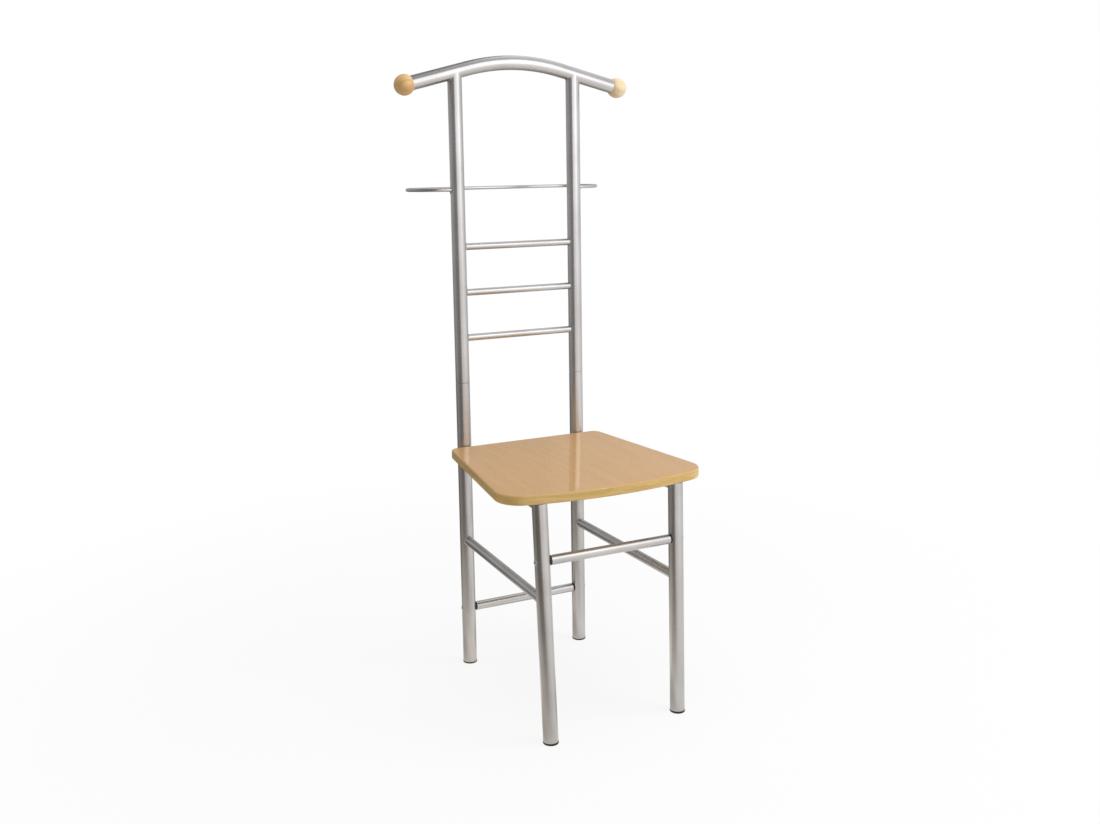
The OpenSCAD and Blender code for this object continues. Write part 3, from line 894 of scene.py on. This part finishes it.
def only_reflected(piece):
    """Leaves a stage piece in the reflections alone."""
    piece.visible_camera = piece.visible_diffuse = piece.visible_shadow = False
    piece.visible_transmission = piece.visible_volume_scatter = False


def softbox(name, place, target, size, power):
    """A square area light that faces a target point. It shows in no reflection, where the
    screens stand for it."""
    lamp = bpy.data.lights.new(name, "AREA")
    lamp.shape, lamp.size, lamp.energy = "SQUARE", size, power
    piece = show(bpy.data.objects.new(name, lamp))
    piece.location = place
    away = np.asarray(place, float) - np.asarray(target, float)
    flat = math.hypot(away[0], away[1])
    piece.rotation_euler = (math.atan2(flat, away[2]), 0.0, math.atan2(away[0], -away[1]))
    piece.visible_glossy = False


def seen_share(tree):
    """1 for camera, glossy and transmission rays, 0 for the rest."""
    path = add(tree, "LightPath")
    share = path.outputs["Is Camera Ray"]
    for ray in ("Is Glossy Ray", "Is Transmission Ray"):
        share = add(tree, "Math", {0: share, 1: path.outputs[ray]}, operation="MAXIMUM")
    return share


def stage_tree(name):
    """A new material that isn't sampled as a lamp, and its empty tree."""
    material = bpy.data.materials.new(name)
    material.use_nodes = True
    material.node_tree.nodes.clear()
    material.cycles.emission_sampling = "NONE"
    return material, material.node_tree


def pale_floor():
    """Matt white studio floor. Seen, it is plain white but for a share of lit floor near the
    chair, which keeps a faint shadow and fades out at a metre and a half."""
    material, tree = stage_tree("matt_white_floor")
    place = add(tree, "TexCoord").outputs["Object"]
    far = add(tree, "VectorMath", {0: place}, operation="LENGTH")
    plain_share = add(tree, "MapRange", Value=far, interpolation_type="SMOOTHSTEP",
                      From_Min=0.3, From_Max=1.5, To_Min=0.86)
    share = add(tree, "Math", {0: seen_share(tree), 1: plain_share}, operation="MULTIPLY")
    lit = add(tree, "BsdfDiffuse", Color=grey(0.94))
    plain = add(tree, "Emission", Color=grey(1.0))
    mix = add(tree, "MixShader", {0: share, 1: lit, 2: plain})
    add(tree, "OutputMaterial", Surface=mix)
    return material


def studio_world():
    """White where it is seen, a plain soft light elsewhere."""
    world = bpy.data.worlds.new("studio")
    bpy.context.scene.world = world
    world.use_nodes = True
    tree = world.node_tree
    tree.nodes.clear()
    level = add(tree, "MapRange", Value=seen_share(tree),
                To_Min=bpy.context.scene.valet_studio.ambient)
    light = add(tree, "Background", Strength=level, Color=grey(1.0))
    add(tree, "OutputWorld", Surface=light)


def camera_ways(yaw):
    """Unit vectors on the floor to the camera's right and from the chair to the camera."""
    return (np.array([math.cos(yaw), -math.sin(yaw), 0.0]),
            np.array([-math.sin(yaw), -math.cos(yaw), 0.0]))


def turn_share(turn):
    """A turn round Z from the camera to its right, in degrees, as a share: 0.5 is at the
    camera."""
    return turn / 360 + 0.5


def turn_from_camera(tree, yaw):
    """The turn share of a place, from the arctangent of its parts to the right and ahead, and
    the place."""
    place = add(tree, "TexCoord").outputs["Object"]
    parts = [add(tree, "VectorMath", {0: place, 1: way},
                 operation="DOT_PRODUCT") for way in camera_ways(yaw)]
    angle = add(tree, "Math", enumerate(parts), operation="ARCTAN2")
    share = add(tree, "MapRange", Value=angle, From_Min=-math.pi, From_Max=math.pi)
    return share, place


def screen_light(name, yaw, bands, borders, tint=PLAIN):
    """Light of a screen round the chair. A band is a grey for each turn from the camera, in
    degrees; bands follow one another upwards, each border being the heights over which one
    changes to the next. Greys above 1 are held as a share of the strongest. tint colours the
    lowest band."""
    peak = max(value for band in bands for _, value in band)
    material, tree = stage_tree(name)
    share, place = turn_from_camera(tree, yaw)
    height = add(tree, "SeparateXYZ", Vector=place)
    rows = []
    for band in bands:
        stops = [(turn_share(a), grey(v / peak, tint)) for a, v in band]
        rows.append(add(tree, "ValToRGB", Fac=share, stops=stops))
        tint = PLAIN
    colour = rows[0]
    for row, (low, high) in zip(rows[1:], borders):
        over = add(tree, "MapRange", Value=height.outputs["Z"], interpolation_type="SMOOTHSTEP",
                   From_Min=low, From_Max=high)
        colour = add(tree, "Mix", {6: colour, 7: row}, Factor=over, data_type="RGBA")
    light = add(tree, "Emission", Color=colour, Strength=peak)
    add(tree, "OutputMaterial", Surface=light)
    return material


def floor_shade(yaw, feet):
    """A sheet on the floor, seen by the tubes alone, whose colours are a painted reflection of the floor:
    pale and warm, warmer at the left, with painted shade in dark brown over it: hardly any under the
    chair, more to the left and behind, all of it from some 0.7 m on at the left, and a painted
    shadow, a thin round patch, to the left of each foot."""
    material, tree = stage_tree("dark_floor_cloth")
    share, place = turn_from_camera(tree, yaw)
    right, ahead = camera_ways(yaw)
    # The painted shade's share for each turn from the camera.
    turns = ((-180, 0.8), (-126, 1.0), (-100, 0.8), (-70, 0.85), (-50, 1.0), (-22, 0.95),
             (-5, 0.83), (8, 0.52), (24, 0.24), (42, 0.1), (120, 0.1), (180, 0.8))
    painted_shade = add(tree, "ValToRGB", Fac=share, stops=[(turn_share(a), grey(v)) for a, v in turns])
    # How a patch changes the painted shade, its centre, and two distances with its share at each.
    patches = [("MULTIPLY", 0.15 * ahead - 0.25 * right, (0.2, 0.7), (0.5, 1.0)),
               ("MULTIPLY", np.zeros(3), (0.18, 0.38), (0.1, 1.0))]
    # A painted shadow of each foot, a thin round patch to its left.
    patches += [("MAXIMUM", foot - 0.09 * right, (0.03, 0.15), (0.5, 0.0)) for foot in feet]
    for how, centre, (near, far), (low, high) in patches:
        away = add(tree, "VectorMath", {0: place, 1: centre}, operation="DISTANCE")
        patch = add(tree, "MapRange", Value=away, interpolation_type="SMOOTHSTEP",
                    From_Min=near, From_Max=far, To_Min=low, To_Max=high)
        painted_shade = add(tree, "Math", {0: painted_shade, 1: patch}, operation=how)
    # The painted reflection of the lit floor, warmer at the left, and the painted shade's dark brown.
    warm, mild = (1.0, 0.95, 0.87, 1.0), (1.0, 0.985, 0.95, 1.0)
    tone = add(tree, "ValToRGB", Fac=share,
               stops=[(0.45, warm), (0.58, mild), (0.9, mild), (1.0, warm)])
    pale = add(tree, "Emission", Color=tone)
    dark = add(tree, "Emission", Color=(0.12, 0.102, 0.085, 1.0))
    mix = add(tree, "MixShader", {0: painted_shade, 1: pale, 2: dark})
    add(tree, "OutputMaterial", Surface=mix)
    return material


def screen(name, turn, radius, height, material):
    """A screen round the chair, seen in reflections alone: a grid with a row for each turn
    round Z, whose points lie at a radius and a height."""
    grid = np.stack(np.broadcast_arrays(
        radius * np.cos(turn)[:, None], radius * np.sin(turn)[:, None], height), 2)
    faces = skin(*grid.shape[:2], closed=False, around=False).tolist()
    only_reflected(stage_mesh(name, grid.reshape(-1, 3).tolist(), faces, material))


def wall(name, finish, yaw, radius, top, bands, borders, tint=PLAIN):
    """An upright round screen that is as wide as its bands."""
    ends = bands[0][0][0], bands[0][-1][0]
    turn = -math.pi / 2 - yaw + np.radians(np.linspace(*ends, 40))
    screen(name, turn, radius, np.linspace(0.0, top, 12)[None],
           screen_light(finish, yaw, bands, borders, tint))


class CHAIR_OT_stage(bpy.types.Operator):
    """Floor, studio, softboxes and the camera at the photograph's viewing angle"""

    bl_idname = "valet.stage"
    bl_label = "Stage"

    def execute(self, context):
        studio = context.scene.valet_studio
        yaw = studio.yaw
        stage_square("studio_floor", 0, pale_floor())
        studio_world()
        # A dome: the dark side at the camera's left, grey walls behind, and a ceiling that is
        # dim at the left and light at the right and behind.
        room = ((-180, 0.46), (-130, 0.46), (-72, 0.42), (-58, 0.30), (-30, 0.25), (-8, 0.27),
                (4, 0.9), (74, 1.1), (180, 0.52))
        ceiling = ((0, 0.30), (180, 1.1))
        dome, up = 2.7, np.linspace(0, np.pi / 2, 17)[None]
        screen("studio_room", np.linspace(0, 2 * np.pi, 65), dome * np.cos(up),
               dome * np.sin(up),
               screen_light("dim_studio_walls", yaw, (room, ceiling), [(1.8, 2.1)]))
        # A pale panel behind on the left, dark under and over it, for the side stretchers.
        foot = ((-172, 0.46), (-160, 0.30), (-112, 0.32), (-100, 0.44))
        panel = ((-172, 0.46), (-134, 0.5), (-124, 0.8), (-112, 0.8), (-100, 0.44))
        above = ((-172, 0.40), (-160, 0.2), (-112, 0.2), (-100, 0.40))
        wall("studio_panel", "pale_panel", yaw, 2.55, 2.2, (foot, panel, above),
             [(0.3, 1.0), (1.35, 1.6)])
        # The light wall at the camera's right, a metre and a quarter from the chair.
        low = ((-3, 0.9), (30, 0.95), (50, 1.10), (66, 1.15), (74, 1.0))
        high = ((-3, 1.35), (30, 1.45), (48, 2.0), (66, 2.1), (74, 1.5))
        wall("studio_light_wall", "white_light_wall", yaw, 1.25, 2.6, (low, high),
             [(0.55, 1.1)], (1.0, 0.98, 0.95))
        # A sheet seen in the tubes alone, with a painted reflection of the floor, its painted shade, and painted
        # shadows beside the feet.
        feet = [line[0] for side in (-1, 1)
                for line in (rear_line(side), front_line(context.scene.valet_sizes, side))]
        only_reflected(stage_square("painted_floor_shade_sheet", 0.002, floor_shade(yaw, feet)))
        softbox("key_softbox", (2.1, -1.7, 1.5), (0, 0, 0.5), 2.0, studio.key)
        softbox("top_softbox", (0.1, -0.3, 2.7), (0, 0, 0.4), 2.4, studio.top)
        lens = bpy.data.cameras.new("camera")
        lens.sensor_width, lens.lens, lens.shift_y = 36.0, studio.focal, studio.shift
        camera = show(bpy.data.objects.new("camera", lens))
        camera.location = studio.camera_place
        # It looks along +Y, turned by yaw to +X and down by pitch, rolled about its own axis.
        look = Matrix.Rotation(math.pi / 2 - studio.pitch, 3, "X")
        look = Matrix.Rotation(-yaw, 3, "Z") @ look @ Matrix.Rotation(studio.roll, 3, "Z")
        camera.rotation_euler = look.to_euler()
        context.scene.camera = camera
        context.scene.view_settings.view_transform = "Standard"
        return {"FINISHED"}


# ---- panel and registration


STEPS = ("tubes", "welds", "seat", "balls", "glides", "bolts", "screws", "stage")
GROUPS = {"valet_sizes": ChairSizes, "valet_colours": ChairColours, "valet_studio": ChairStudio}


class CHAIR_PT_panel(bpy.types.Panel):
    """Lists the chair's pieces and settings"""

    bl_idname = "CHAIR_PT_panel"
    bl_label = "Clothes valet chair"
    bl_space_type = "VIEW_3D"
    bl_region_type = "UI"
    bl_category = "Valet chair"

    def draw(self, context):
        for step in STEPS:
            self.layout.operator("valet." + step)
        for group in GROUPS:
            values = getattr(context.scene, group)
            box = self.layout.box()
            for name in values.bl_rna.properties.keys():
                if name not in ("rna_type", "name"):
                    box.prop(values, name)


CLASSES = (
    *GROUPS.values(), CHAIR_OT_tubes, CHAIR_OT_welds, CHAIR_OT_seat, CHAIR_OT_balls,
    CHAIR_OT_glides, CHAIR_OT_bolts, CHAIR_OT_screws, CHAIR_OT_stage, CHAIR_PT_panel,
)


def register():
    """Registers the classes and hangs the property groups on the scene."""
    for item in CLASSES:
        bpy.utils.register_class(item)
    for name, group in GROUPS.items():
        setattr(bpy.types.Scene, name, bpy.props.PointerProperty(type=group))


def unregister():
    """Takes the property groups and the classes away again."""
    for name in GROUPS:
        delattr(bpy.types.Scene, name)
    for item in reversed(CLASSES):
        bpy.utils.unregister_class(item)


def main():
    """Builds the chair and its stage."""
    register()
    for step in STEPS:
        getattr(bpy.ops.valet, step)()


if __name__ == "__main__":
    main()
